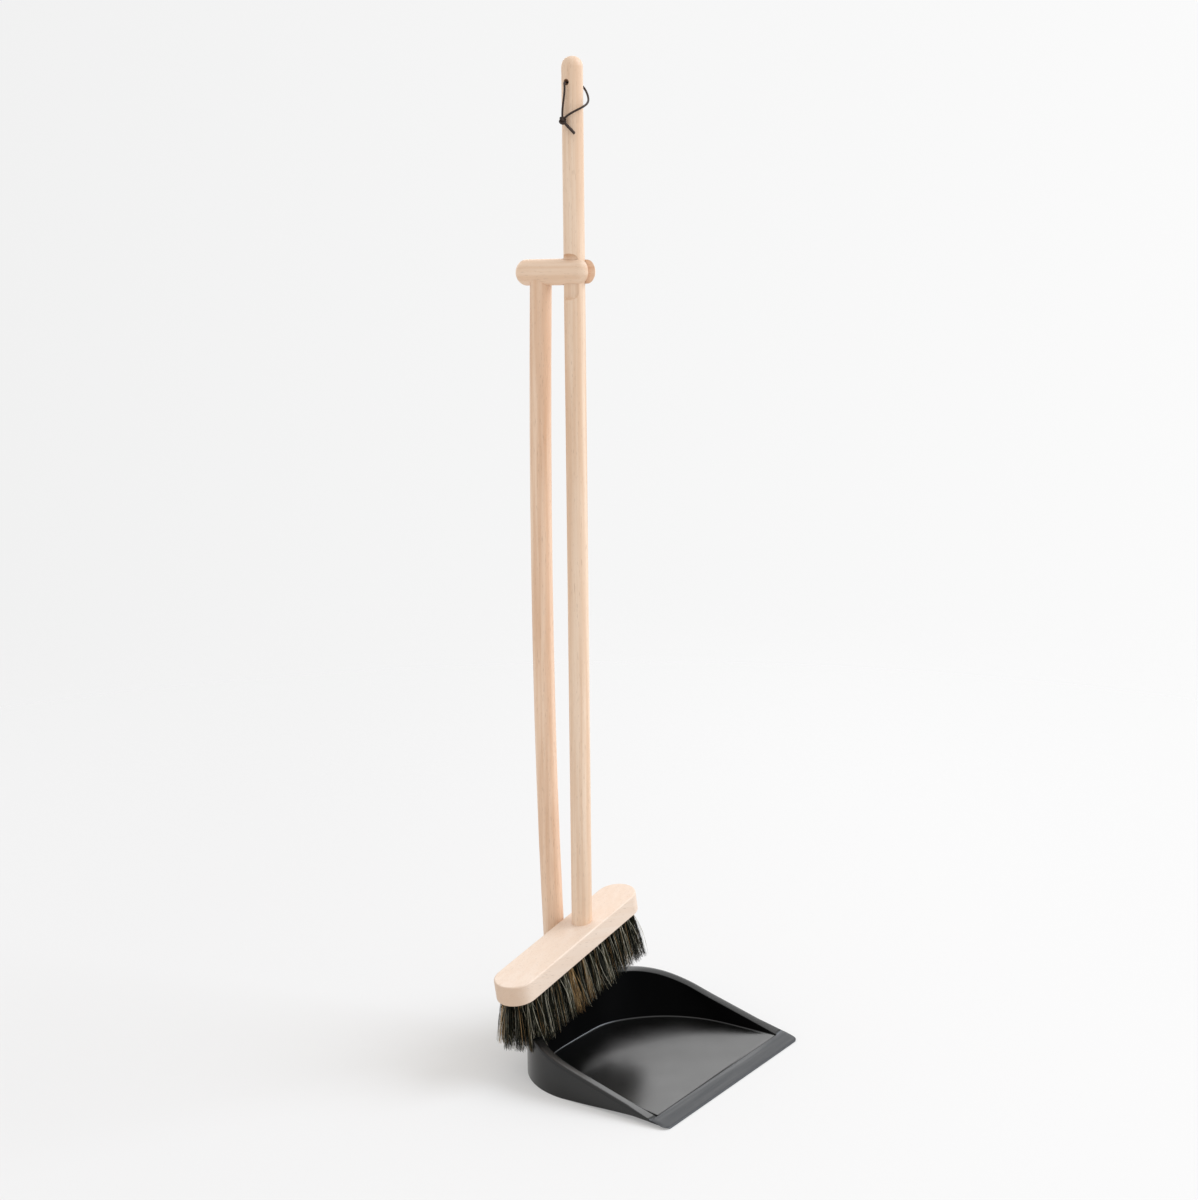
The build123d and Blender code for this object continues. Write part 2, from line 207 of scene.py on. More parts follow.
# ------------------------------------------------------------------ materials
# beech figure: each pattern's noise scale, its scale along the grain, detail and distortion
BEECH_PATTERNS = {
    "bands": (170, 0.03, 2.0, 0.15),
    "streaks": (900, 0.025, 3.0, 0.0),
    "flecks": (1100, 0.12, 1.0, 0.0),
    "patches": (18, 0.2, 2.0, 0.0),
}
# how much of the dark colour is left in end grain, which is partly painted shade, and in a fleck
END_GRAIN_AND_SHADE, FLECK = (0.82, 0.70, 0.58), 0.66
# towards the right of the picture, where the key light comes from, and the studio's colours across
LIGHT_SIDE = (0.581, -0.814, 0.0)
BACKDROP_DIM, BACKDROP_BRIGHT = srgb(241, 241, 241), srgb(251, 251, 251)
# floor colour painted dim away from the key light and bright towards it, and the strength of its glow,
# painted light that lifts its shadows
FLOOR_DIM, FLOOR_BRIGHT, FLOOR_GLOW = (0.51, 0.496, 0.481), (0.542, 0.528, 0.512), 0.3
# half the width in which the floor's painted light changes, and where it melts into the backdrop
FLOOR_SPAN, FLOOR_FADE = 0.6, (0.7, 2.6)


def beech(name, light, dark, turn=(0, 0, 0), offset=0.0, figure=0.85, end=None, end_grain_and_shade_weight=0.7,
          specular=0.5):
    """Pale beech with the grain along local Z: soft growth bands, fine streaks and short dark flecks.

    Faces turned towards the direction end are darker: end grain, and in part painted shade where they
    face down into shadow.
    """
    n = Nodes(name, 0.5, specular)
    figures = {
        kind: n.noise(n.mapped((1, 1, along_grain), turn), scale + offset, detail, distortion)
        for kind, (scale, along_grain, detail, distortion) in BEECH_PATTERNS.items()
    }
    bands, streaks, flecks, patches = figures.values()
    colour = n.mix(n.ramp(bands, 0.35, 0.7, 0.0, figure), light, dark)
    colour = n.mix(n.ramp(streaks, 0.45, 0.72, 0.0, 0.35), colour, dark)
    colour = n.mix(n.ramp(patches, 0.42, 0.7, 0.0, 0.6 * figure), colour, dark)
    colour = n.mix(n.ramp(flecks, 0.63, 0.73, 0.0, 0.42), colour, tuple(c * FLECK for c in dark))
    # darker faces towards end: end grain and painted shade
    if end:
        facing = n.along(n.facing, end)
        grain = tuple(c * s for c, s in zip(dark, END_GRAIN_AND_SHADE))
        colour = n.mix(n.ramp(facing, 0.15, 0.9, 0.0, end_grain_and_shade_weight), colour, grain)
    n.link(colour, n.shader.inputs["Base Color"])
    n.link(n.ramp(streaks, 0.3, 0.7, 0.42, 0.58), n.shader.inputs["Roughness"])
    n.bump(streaks, 0.0001)
    return n.material


def moulded(name, colour, roughness, grain, depth, specular=0.5, stretch=(1, 1, 1), cloud_size=28,
            sheen=0.02):
    """Injection-moulded plastic or rubber: a faint surface grain, cloudy sheen and fine dust."""
    n = Nodes(name, roughness, specular)
    fine = n.noise(n.mapped((1, 1, 1)), grain, detail=3.0)
    cloud = n.noise(n.mapped(stretch), cloud_size, detail=3.0)
    dust = n.noise(n.mapped((1, 1, 1)), 900, detail=2.0)
    pale = tuple(c * 1.5 + 0.0006 for c in colour)
    dusty = tuple(c * 2.2 + 0.002 for c in colour)
    tone = n.mix(n.ramp(cloud, 0.4, 0.7, 0.0, 0.5), colour, pale)
    tone = n.mix(n.ramp(dust, 0.68, 0.78, 0.0, 0.35), tone, dusty)
    n.link(tone, n.shader.inputs["Base Color"])
    n.link(n.ramp(cloud, 0.3, 0.7, roughness - sheen, roughness + sheen), n.shader.inputs["Roughness"])
    n.bump(fine, depth)
    return n.material


def hair(name, dark, light):
    """Horsehair: its tone changes between two colours from place to place."""
    n = Nodes(name, roughness=0.5, specular=0.16)
    tone = n.noise(n.mapped((1, 1, 0.15)), 420, detail=2.0)
    n.link(n.mix(n.ramp(tone, 0.35, 0.65), dark, light), n.shader.inputs["Base Color"])
    return n.material


def leather(name):
    """Dark waxed thong with a fibrous surface."""
    n = Nodes(name, roughness=0.5, specular=0.3)
    fibre = n.noise(n.mapped((1, 1, 0.4)), 1400, detail=4.0)
    colour = n.mix(n.ramp(fibre, 0.35, 0.7), srgb(34, 24, 19), srgb(66, 48, 38))
    n.link(colour, n.shader.inputs["Base Color"])
    n.bump(fibre, 0.0002)
    return n.material


def zinc(name):
    """Zinc-plated steel with a fine spangle."""
    n = Nodes(name, roughness=0.35)
    n.shader.inputs["Metallic"].default_value = 1.0
    spangle = n.noise(n.mapped((1, 1, 1)), 700, detail=3.0)
    n.link(n.mix(spangle, srgb(160, 160, 162), srgb(205, 205, 208)), n.shader.inputs["Base Color"])
    n.bump(spangle, 0.00003)
    return n.material


def paper(name):
    """Seamless pale studio floor that melts into the backdrop far from the object; its colour is painted
    lighter towards the key light, and its glow is painted light that lifts the shadows on it.
    """
    n = Nodes(name, roughness=0.9, specular=0.1)
    # painted light: the floor's colour is lighter towards the key light
    side = n.ramp(n.along(n.place, LIGHT_SIDE), -FLOOR_SPAN, FLOOR_SPAN)
    n.link(n.mix(side, FLOOR_DIM, FLOOR_BRIGHT), n.shader.inputs["Base Color"])
    # painted light: a glow in the backdrop's tones that lifts the shadows on the floor
    n.link(n.mix(side, BACKDROP_DIM, BACKDROP_BRIGHT), n.shader.inputs["Emission Color"])
    n.shader.inputs["Emission Strength"].default_value = FLOOR_GLOW
    length = n.tree.nodes.new("ShaderNodeVectorMath")
    length.operation = "LENGTH"
    n.link(n.place, length.inputs[0])
    clear = n.tree.nodes.new("ShaderNodeBsdfTransparent")
    blend = n.tree.nodes.new("ShaderNodeMixShader")
    n.link(n.ramp(length.outputs["Value"], *FLOOR_FADE), blend.inputs[0])
    n.link(n.shader.outputs[0], blend.inputs[1])
    n.link(clear.outputs[0], blend.inputs[2])
    n.link(blend.outputs[0], n.tree.nodes["Material Output"].inputs["Surface"])
    return n.material


LEATHER = leather("thong_leather")
WOOD = {
    # painted shade as well as end grain: faces turned down, such as the cove of the neck above the grip,
    # are darkened
    "broom_handle": beech("beech_broom_handle", srgb(232, 205, 179), srgb(214, 177, 144),
                          end=(0, 0, -1), specular=0.9),
    "pan_handle": beech("beech_pan_handle", srgb(233, 202, 174), srgb(211, 169, 134), offset=7.0,
                        specular=0.9),
    "fork_grip": beech("beech_grip", srgb(237, 211, 187), srgb(222, 187, 156), turn=(QUARTER, 0, 0),
                       offset=3.0),
    "brush_block": beech("beech_block", srgb(225, 205, 187), srgb(218, 192, 169),
                         turn=(0, QUARTER - BLOCK_TILT, 0), offset=11.0, figure=0.4,
                         end=(-0.98, 0, -0.2), end_grain_and_shade_weight=0.4, specular=0.35),
}
PLASTIC = moulded("black_plastic", srgb(9, 9, 8), 0.24, 1600, 0.000003)
# painted shade: a near-black, barely reflective copy of the same plastic for the pan's inner wall, which
# stands in shade
SHADED_WALL_PLASTIC = moulded("black_plastic_painted_shade", srgb(2, 2, 2), 0.45, 1600, 0.00001, specular=0.02)
RUBBER = moulded("lip_rubber", srgb(36, 38, 41), 0.38, 2200, 0.00002, stretch=(0.03, 1, 1),
                 cloud_size=420, sheen=0.1)
STEEL = zinc("zinc_steel")
HAIRS = [
    hair("hair_black", srgb(7, 9, 4), srgb(25, 27, 17)),
    hair("hair_grey", srgb(40, 40, 25), srgb(78, 75, 50)),
    hair("hair_tan", srgb(138, 108, 70), srgb(192, 156, 108)),
    hair("hair_pale", srgb(152, 147, 126), srgb(212, 205, 184)),
]

# ------------------------------------------------------------------ leather thong
# each cord from its end of the hole through the knot to its loose end
NEAR_ROUTE = [
    (-0.0100, -0.02935, 0.9258), (-0.0127, -0.02935, 0.9258), (-0.0141, -0.0310, 0.9218),
    (-0.0139, -0.0306, 0.9158), (-0.0141, -0.0292, 0.9077), (-0.0145, -0.0283, 0.8998),
    (-0.0147, -0.0285, 0.8927), (-0.0142, -0.0320, 0.8869), (-0.0132, -0.0368, 0.8826),
    (-0.0123, -0.0402, 0.8789),
]
FAR_ROUTE = [
    (0.0100, -0.02935, 0.9258), (0.0129, -0.02935, 0.9258), (0.0147, -0.0319, 0.9228),
    (0.0128, -0.0368, 0.9176), (0.0084, -0.0419, 0.9108), (0.0011, -0.0452, 0.9060),
    (-0.0062, -0.0438, 0.9022), (-0.0120, -0.0385, 0.8985), (-0.0146, -0.0327, 0.8948),
    (-0.0149, -0.0285, 0.8912), (-0.0120, -0.0316, 0.8872), (-0.0110, -0.0354, 0.8836),
    (-0.0103, -0.0389, 0.8799),
]
KNOT = Vector((-0.0148, -0.0289, 0.8910))
# points round the knot, its cord's diameter and its tilt; its ring's radius, wave and rise
KNOT_POINTS, KNOT_CORD, KNOT_TURN = 24, 0.0028, math.radians(70)
KNOT_RING, KNOT_WAVE, KNOT_RISE = 0.0021, 0.0009, 0.0015


def thong_knot():
    """Overhand knot pulled tight: one closed cord wound twice round itself."""
    route = []
    for step in range(KNOT_POINTS):
        t = 2 * math.pi * step / KNOT_POINTS
        ring = KNOT_RING + KNOT_WAVE * math.cos(3 * t)
        place = Vector((ring * math.cos(2 * t), ring * math.sin(2 * t), KNOT_RISE * math.sin(3 * t)))
        route.append(KNOT + Matrix.Rotation(KNOT_TURN, 3, "X") @ place)
    curve = tube_curve("thong_knot_tied", route, KNOT_CORD)
    spline = curve.splines[0]
    spline.use_endpoint_u = False
    spline.use_cyclic_u = True
    return curve


knot = add("thong_knot_tied", thong_knot(), "broom", ["thong_knot"], [LEATHER])
near = add("thong_near_cord", tube_curve("thong_near_cord", NEAR_ROUTE, THONG), "broom",
           ["thong_near"], [LEATHER])
far = add("thong_far_cord", tube_curve("thong_far_cord", FAR_ROUTE, THONG), "broom",
          ["thong_far"], [LEATHER])


# ------------------------------------------------------------------ carried-over CAD nodes
def finish_node(name, material):
    """Give a CAD node that stays visible its material."""
    node = nodes[name]
    node.data.materials.clear()
    node.data.materials.append(material)


for wooden, material in WOOD.items():
    finish_node(wooden, material)
for metal in ("socket_screw", "handle_brad", "tuft_anchors"):
    finish_node(metal, STEEL)
finish_node("thong_core", LEATHER)


# ------------------------------------------------------------------ dustpan outlines
# stations along the side, round the corner and along the back of each half
SIDE_STEPS, ARC_STEPS, BACK_STEPS = 26, 30, 8
# the floor's edge beside the lip, along the side and in the middle of the back
FLOOR_FRONT, FLOOR_SIDE, FLOOR_MIDDLE = (0.1045, LIP_REAR_Y), (0.1026, -0.1295), (0, -0.0310)
# a point of the floor's rear corner and the corner's end on the back; the left one is given mirrored
FLOOR_RIGHT = (0.0732, -0.0591), (0.0289, -0.0309)
FLOOR_LEFT = (0.0910, -0.0600), (0.0620, -0.0312)
# how many times the floor's outline is averaged with its neighbours
EASING_PASSES = 14


def rounded_half(inset):
    """Right half of the pan's plan outline moved in by inset, from the lip to the middle of the back."""
    radius, centre = CORNER_R - inset, Vector((PAN_HALF - CORNER_R, PAN_BACK_Y - CORNER_R))
    points = [Vector((PAN_HALF - inset, LIP_REAR_Y + (centre.y - LIP_REAR_Y) * k / SIDE_STEPS))
              for k in range(SIDE_STEPS)]
    for k in range(ARC_STEPS):
        angle = QUARTER * k / ARC_STEPS
        points.append(centre + radius * Vector((math.cos(angle), math.sin(angle))))
    for k in range(BACK_STEPS + 1):
        points.append(Vector((centre.x * (1 - k / BACK_STEPS), PAN_BACK_Y - inset)))
    return points


def circle_through(a, b, c):
    """Centre of the circle through three points of the plan."""
    d = 2 * (a.x * (b.y - c.y) + b.x * (c.y - a.y) + c.x * (a.y - b.y))
    squares = [p.length_squared for p in (a, b, c)]
    x = squares[0] * (b.y - c.y) + squares[1] * (c.y - a.y) + squares[2] * (a.y - b.y)
    y = squares[0] * (c.x - b.x) + squares[1] * (a.x - c.x) + squares[2] * (b.x - a.x)
    return Vector((x / d, y / d))


def floor_half(shoulder, back):
    """Right half of a floor outline, station for station with rounded_half."""
    corners = FLOOR_FRONT, FLOOR_SIDE, shoulder, back, FLOOR_MIDDLE
    front, side, shoulder, back, middle = (Vector(corner) for corner in corners)
    points = [front.lerp(side, k / SIDE_STEPS) for k in range(SIDE_STEPS)]
    centre = circle_through(side, shoulder, back)
    start, end = side - centre, back - centre
    first, last = math.atan2(start.y, start.x), math.atan2(end.y, end.x)
    for k in range(ARC_STEPS):
        angle = first + (last - first) * k / ARC_STEPS
        points.append(centre + start.length * Vector((math.cos(angle), math.sin(angle))))
    return points + [back.lerp(middle, k / BACK_STEPS) for k in range(BACK_STEPS + 1)]


def whole(half, other=None):
    """An outline from the right end of the lip round the back to the left end.

    The left half mirrors the right one, or the other half that is given.
    """
    return half + [Vector((-p.x, p.y)) for p in reversed((other or half)[:-1])]


def floor_outline():
    """Edge of the pan's floor, squarer in the left rear corner, with its corners eased."""
    points = whole(floor_half(*FLOOR_RIGHT), floor_half(*FLOOR_LEFT))
    for _ in range(EASING_PASSES):
        middles = [(a + b * 2 + c) / 4 for a, b, c in zip(points, points[1:], points[2:])]
        points = [points[0], *middles, points[-1]]
    return points


# the rim's height along Y, with its slope there
RIM = [(-0.2066, 0.00122, 0.257), (-0.1090, 0.0263, 0.257), (-0.0761, 0.0357, 0.296),
       (-0.0525, 0.0430, 0.276), (-0.0309, 0.0482, 0.17), (0.0123, 0.0508, 0.0)]


def rim_height(y):
    """Height of the rim over the floor plane at this y, from points with their slopes."""
    for (y0, z0, s0), (y1, z1, s1) in zip(RIM, RIM[1:]):
        if y <= y1 or y1 == RIM[-1][0]:
            span = y1 - y0
            t = min(max((y - y0) / span, 0), 1)
            return ((1 + 2 * t) * (1 - t) ** 2 * z0 + t * (1 - t) ** 2 * span * s0
                    + t * t * (3 - 2 * t) * z1 - t * t * (1 - t) * span * s1)


# how far the skirts' lower edges are off the floor along Y
RELIEF = [(-0.2070, 0.0), (-0.1891, 0.0038), (-0.1700, 0.0046), (-0.1500, 0.0036), (-0.1200, 0.0015),
          (-0.0900, 0.0), (0.1, 0.0)]


def skirt_lift(y):
    """How far the side skirts' lower edges are off the floor at this y."""
    for (y0, z0), (y1, z1) in zip(RELIEF, RELIEF[1:]):
        if y <= y1:
            return z0 + (z1 - z0) * max(y - y0, 0) / (y1 - y0)


# ------------------------------------------------------------------ dustpan moulding
# points in each round of the section
CORNER_STEPS = 7
# how far the rim falls inwards, how thick it is, and how far its underside stops short of its edge
RIM_DIP, RIM_THICK, RIM_SHORT = 0.0012, 0.0025, 0.0015
# least height of the rim's underside over the skirt's edge and over the floor plane, near the lip
LEAST_SKIRT, LEAST_UNDER = 0.0004, 0.0020
# strip of floor that belongs to the section, and the floor's thickness
LEDGE, FLOOR_THICK = 0.009, 0.0022
# rounds: skirt edge, rim's outer and inner edge, foot of the inner wall above and below, under the rim
EDGE_ROUND, RIM_ROUND, INNER_ROUND = 0.0006, 0.0034, 0.0017
FOOT_ROUND, BACK_ROUND, UNDER_ROUND = 0.0038, 0.0008, 0.001


def rounded_corner(before, corner, after, radius):
    """Points that replace a corner by a round of about this radius."""
    back, ahead = before - corner, after - corner
    turn = math.pi - back.angle(ahead, 0)
    reach = min(radius * math.tan(turn / 2), 0.45 * back.length, 0.45 * ahead.length)
    start, end = corner + back.normalized() * reach, corner + ahead.normalized() * reach
    return [start * (1 - t) ** 2 + corner * 2 * t * (1 - t) + end * t * t
            for t in (k / (CORNER_STEPS - 1) for k in range(CORNER_STEPS))]


def pan_section(outer, rim, floor, inward):
    """Closed section of the moulding at one station: skirt, rim, inner wall, floor and undersides."""
    top, low = rim_height(outer.y), rim_height(rim.y) - RIM_DIP
    lift = skirt_lift(outer.y)
    under_top = max(top - RIM_THICK, lift + LEAST_SKIRT)
    under_low = max(low - RIM_THICK, LEAST_UNDER)
    under_floor = FLOOR_TOP - FLOOR_THICK
    toward = (rim - outer).normalized()
    skirt, under_rim = outer + toward * WALL, rim - toward * RIM_SHORT
    ledge = floor + inward * LEDGE
    wall_back = floor + (rim - floor).normalized() * WALL
    corners = [
        (outer, lift, EDGE_ROUND), (outer, top, RIM_ROUND),
        (rim, low, INNER_ROUND), (floor, FLOOR_TOP, FOOT_ROUND),
        (ledge, FLOOR_TOP, 0.0), (ledge, under_floor, 0.0),
        (wall_back, under_floor, BACK_ROUND), (under_rim, under_low, UNDER_ROUND),
        (skirt, under_top, UNDER_ROUND), (skirt, lift, EDGE_ROUND),
    ]
    places = [Vector((*plan, height)) for plan, height, _ in corners]
    points = []
    for k, (place, (*_, radius)) in enumerate(zip(places, corners)):
        before, after = places[k - 1], places[(k + 1) % len(places)]
        points += rounded_corner(before, place, after, radius) if radius else [place]
    return points


def normals_inward(outline):
    """Unit vectors towards the inside of an outline, one for each point."""
    out = []
    for k in range(len(outline)):
        along = outline[min(k + 1, len(outline) - 1)] - outline[max(k - 1, 0)]
        out.append(Vector((-along.y, along.x)).normalized())
    return out


def pan_moulding():
    """Sections joined all the way round, closed at the lip, with one face above and below the floor.

    The inner wall's faces take the second material, a darker copy of the plastic that paints the shade
    in the wall.
    """
    outer, rim, floor = whole(rounded_half(0)), whole(rounded_half(RIM_BAND)), floor_outline()
    inward = normals_inward(floor)
    sections = [pan_section(o, r, f, n) for o, r, f, n in zip(outer, rim, floor, inward)]
    size, count = len(sections[0]), len(sections)
    points = [p for section in sections for p in section]
    # the section's open edge on the floor, and the faces between the inner wall's two rounds, which get
    # the painted shade
    edge = 4 * CORNER_STEPS
    wall = range(2 * CORNER_STEPS + 3, 3 * CORNER_STEPS + 2)
    faces, kinds = [], []
    for s in range(count - 1):
        for k in range(size):
            if k == edge:
                continue
            a, b = s * size + k, s * size + (k + 1) % size
            faces.append((a, b, b + size, a + size))
            kinds.append(1 if k in wall else 0)
    faces.append(tuple(reversed(range(size))))
    faces.append(tuple((count - 1) * size + k for k in range(size)))
    top_ring = [s * size + edge for s in range(count)]
    low_ring = [s * size + edge + 1 for s in range(count)]
    faces.append(tuple(top_ring))
    faces.append(tuple(reversed(low_ring)))
    faces.append((top_ring[0], top_ring[-1], low_ring[-1], low_ring[0]))
    mesh = mesh_from("pan_moulding", points, faces)
    mesh.polygons.foreach_set("material_index", kinds + [0] * (len(faces) - len(kinds)))
    fixed = bmesh.new()
    fixed.from_mesh(mesh)
    bmesh.ops.recalc_face_normals(fixed, faces=fixed.faces)
    fixed.to_mesh(mesh)
    fixed.free()
    return mesh


def lathe(profile, place, steps=64):
    """Closed profile of (radius, height) turned about Z, then placed."""
    points, faces = [], []
    for s in range(steps):
        angle = 2 * math.pi * s / steps
        points += [place @ Vector((r * math.cos(angle), r * math.sin(angle), z)) for r, z in profile]
    size = len(profile)
    for s in range(steps):
        for k in range(size):
            a, b = s * size + k, s * size + (k + 1) % size
            c, d = (s + 1) % steps * size + (k + 1) % size, (s + 1) % steps * size + k
            faces.append((a, d, c, b))
    return points, faces


# closed profile of the socket as (radius, height): rolled mouth, flared foot, blind hole
SOCKET_MOUTH = [(0.0105, 0.0786), (0.0109, 0.0797), (0.0118, 0.0802), (0.0130, 0.0802), (0.0140, 0.0797),
                (SOCKET_R, 0.0787)]
SOCKET_FOOT = [(SOCKET_R, 0.0080), (0.0150, 0.0045), (0.0158, 0.0022), (0.0162, 0.0009),
               (0.0160, 0.0009)]
SOCKET_HOLE = [(0.004, 0.0009), (0.004, 0.009), (0.0105, 0.009)]
# cheeks beside the socket: half width, height, depth and how fast they fall off
CHEEK_HALF, CHEEK_HEIGHT, CHEEK_DEPTH, CHEEK_SPREAD = 0.026, 0.0405, 0.0145, 0.0135
# their foot, how far it drops away from the socket, its least height, and their depth in the wall
CHEEK_LOW, CHEEK_DROP, CHEEK_LEAST = 0.001, 0.004, 0.0005
CHEEK_SUNK, CHEEK_BACK = 0.0006, 0.001


def handle_socket():
    """Socket tube behind the back wall, leaning with the pan handle."""
    place = Matrix.Rotation(-SOCKET_LEAN, 4, "X")
    return mesh_from("pan_socket", *lathe(SOCKET_MOUTH + SOCKET_FOOT + SOCKET_HOLE, place))


def socket_web(rows=9, columns=17):
    """Two curved cheeks that tie the socket to the back wall."""
    points, faces = [], []
    for r in range(rows):
        z = CHEEK_LOW + CHEEK_HEIGHT * r / (rows - 1)
        for c in range(columns):
            x = -CHEEK_HALF + 2 * CHEEK_HALF * c / (columns - 1)
            bulge = math.exp(-(x / CHEEK_SPREAD) ** 2)
            y = PAN_BACK_Y - CHEEK_SUNK + CHEEK_DEPTH * bulge
            points.append(Vector((x, y, max(z - CHEEK_DROP * (1 - bulge), CHEEK_LEAST))))
    for r in range(rows - 1):
        for c in range(columns - 1):
            a = r * columns + c
            faces.append((a, a + 1, a + columns + 1, a + columns))
    front = len(points)
    points += [Vector((p.x, PAN_BACK_Y - CHEEK_BACK, p.z)) for p in points]
    top = [(rows - 1) * columns + c for c in range(columns)]
    for a, b in zip(top, top[1:]):
        faces.append((a, b, b + front, a + front))
    return mesh_from("pan_socket_cheeks", points, faces)


add("pan_moulding", pan_moulding(), "pan", ["pan_shell"], [PLASTIC, SHADED_WALL_PLASTIC])
add("pan_socket", handle_socket(), "pan", [], [PLASTIC])
add("pan_socket_cheeks", socket_web(), "pan", [], [PLASTIC])


# ------------------------------------------------------------------ rubber lip
# the strip's section: distance from its front edge and height there
LIP_PROFILE = [
    (0.0, 0.0), (0.0, 0.0008), (0.0003, 0.0013), (0.0012, 0.0017), (0.0024, 0.0020), (0.0040, 0.0024),
    (0.0060, 0.0029), (0.0095, 0.0039), (0.0135, 0.0049), (0.0161, 0.0054), (0.0173, 0.0055),
    (0.0179, 0.0052), (0.0180, 0.0047), (0.0180, 0.0),
]
# radius of its front corners, steps along it, and the share of the half width beyond which it lifts
LIP_CORNER_R, LIP_STATIONS, LIP_END = 0.006, 40, 0.92
# bevel on its edges, and the angle from which an edge gets it
LIP_EDGE, LIP_EDGE_ANGLE = 0.0004, math.radians(40)


def rubber_lip():
    """Wedge strip with rounded front corners; its ends lift off the floor with the side skirts."""
    stations = [-1 + 2 * k / LIP_STATIONS for k in range(LIP_STATIONS + 1)]
    points, faces = [], []
    for s in stations:
        for depth, z in LIP_PROFILE:
            y, short = LIP_FRONT_Y + depth, max(LIP_CORNER_R - depth, 0)
            x = s * (PAN_HALF - LIP_CORNER_R + math.sqrt(LIP_CORNER_R ** 2 - short ** 2))
            points.append(Vector((x, y, max(z, skirt_lift(y)) if abs(s) > LIP_END else z)))
    size = len(LIP_PROFILE)
    for s in range(len(stations) - 1):
        for k in range(size):
            a, b = s * size + k, s * size + (k + 1) % size
            faces.append((a, a + size, b + size, b))
    faces.append(tuple(range(size)))
    faces.append(tuple(reversed([(len(stations) - 1) * size + k for k in range(size)])))
    return mesh_from("lip_strip", points, faces)


lip = add("lip_strip", rubber_lip(), "pan", ["rubber_lip"], [RUBBER])
soften = lip.modifiers.new("round edges", "BEVEL")
soften.width, soften.segments, soften.angle_limit = LIP_EDGE, 2, LIP_EDGE_ANGLE


# ------------------------------------------------------------------ bristles
BLOCK_PLACE = Matrix.Translation((0, BROOM_Y, BLOCK_Z)) @ Matrix.Rotation(-BLOCK_TILT, 4, "Y")
ROWS = {"front_outer": -0.0135, "front_inner": -0.0045, "rear_inner": 0.0045, "rear_outer": 0.0135}
# tufts: gap to the block's ends, number in an inner row, hairs in each, sides of a hair's tube
END_GAP, INNER_TUFTS, HAIRS_PER_TUFT, SIDES = 0.013, 18, 128, 3
# how much wider the brush is at the tips than at the roots: across, near end and far end
ROW_SPREAD, NEAR_SPREAD, FAR_SPREAD = 1.44, 1.08, 1.0
# length of a hair off the block, and how much more towards the near end, per metre
HAIR_LENGTH, LONGER_NEAR = 0.0480, 0.026
# share of that length: mean and spread, range for stray hairs, and the most there is
LENGTH_SHARE, STRAY_SHARE, MOST_SHARE = (0.988, 0.014), (0.82, 1.01), 1.01
# a hair's radius, and the share of it lost at the tip
THIN, THICK, TAPER = 0.00014, 0.00025, 0.55
# a tuft's radius at root and tip, how deep it sits, and how much it leans
ROOT_R, TIP_R, SUNK, LEAN = 0.0022, 0.0058, 0.003, 0.0008
# how far a tip is off its place and a hair is bowed, for most hairs and for stray ones
LOOSE, STRAY_LOOSE, CURL, STRAY_CURL = 0.0018, 0.0062, 0.0011, 0.0055
# share of stray hairs, of stray hairs made pale, and of blond tufts
STRAYS, PALE_STRAYS, BLOND_TUFTS = 0.1, 0.45, 0.08
# weights of the tones in HAIRS in a dark and in a blond tuft, and the pale tone's index
DARK_TUFT, BLOND_TUFT, PALE = (72, 16, 5, 7), (40, 14, 35, 11), 3
# hairs that reach less than this under the rim may lie on it; those over this share of the rim
# bend outside; room left beside it, and how much the inner wall leans
REST_DEPTH, OVER_RIM, HAIR_ROOM, INNER_SLOPE = 0.014, 0.9, 0.0006, 0.35
# distance kept from the middle of the socket and of the handle over it, where that begins, and the
# further push forward beside them
SOCKET_KEEP, HANDLE_KEEP, SOCKET_OVER = SOCKET_R + 0.001, 0.0115, SOCKET_TOP + 0.002
FORWARD_PUSH = 0.3
# bending clear: passes, least move, and how it gathers at the tip; how a hair's bow does
BEND_PASSES, BEND_END, BEND_POWER, BOW_POWER = 3, 1e-5, 1.4, 1.2


def tuft_roots(row):
    """Places of one row's tufts in the block; those of the outer rows sit between the inner ones."""
    first, last = -BLOCK_NEAR + END_GAP, BLOCK_FAR - END_GAP
    pitch = (last - first) / (INNER_TUFTS - 1)
    outer = row.endswith("outer")
    start, count = (first + pitch / 2, INNER_TUFTS - 1) if outer else (first, INNER_TUFTS)
    return [(start + k * pitch, ROWS[row]) for k in range(count)]


def off_outline(x, y):
    """Distance outside the pan's plan outline; negative inside."""
    qx = abs(x) - (PAN_HALF - CORNER_R)
    qy = y - (PAN_BACK_Y - CORNER_R)
    return math.hypot(max(qx, 0), max(qy, 0)) + min(max(qx, qy), 0) - CORNER_R


def outward(x, y):
    """Unit vector away from the pan's middle at this place of its outline."""
    step = 0.0002
    rise = Vector((off_outline(x + step, y) - off_outline(x - step, y),
                   off_outline(x, y + step) - off_outline(x, y - step)))
    return rise.normalized()


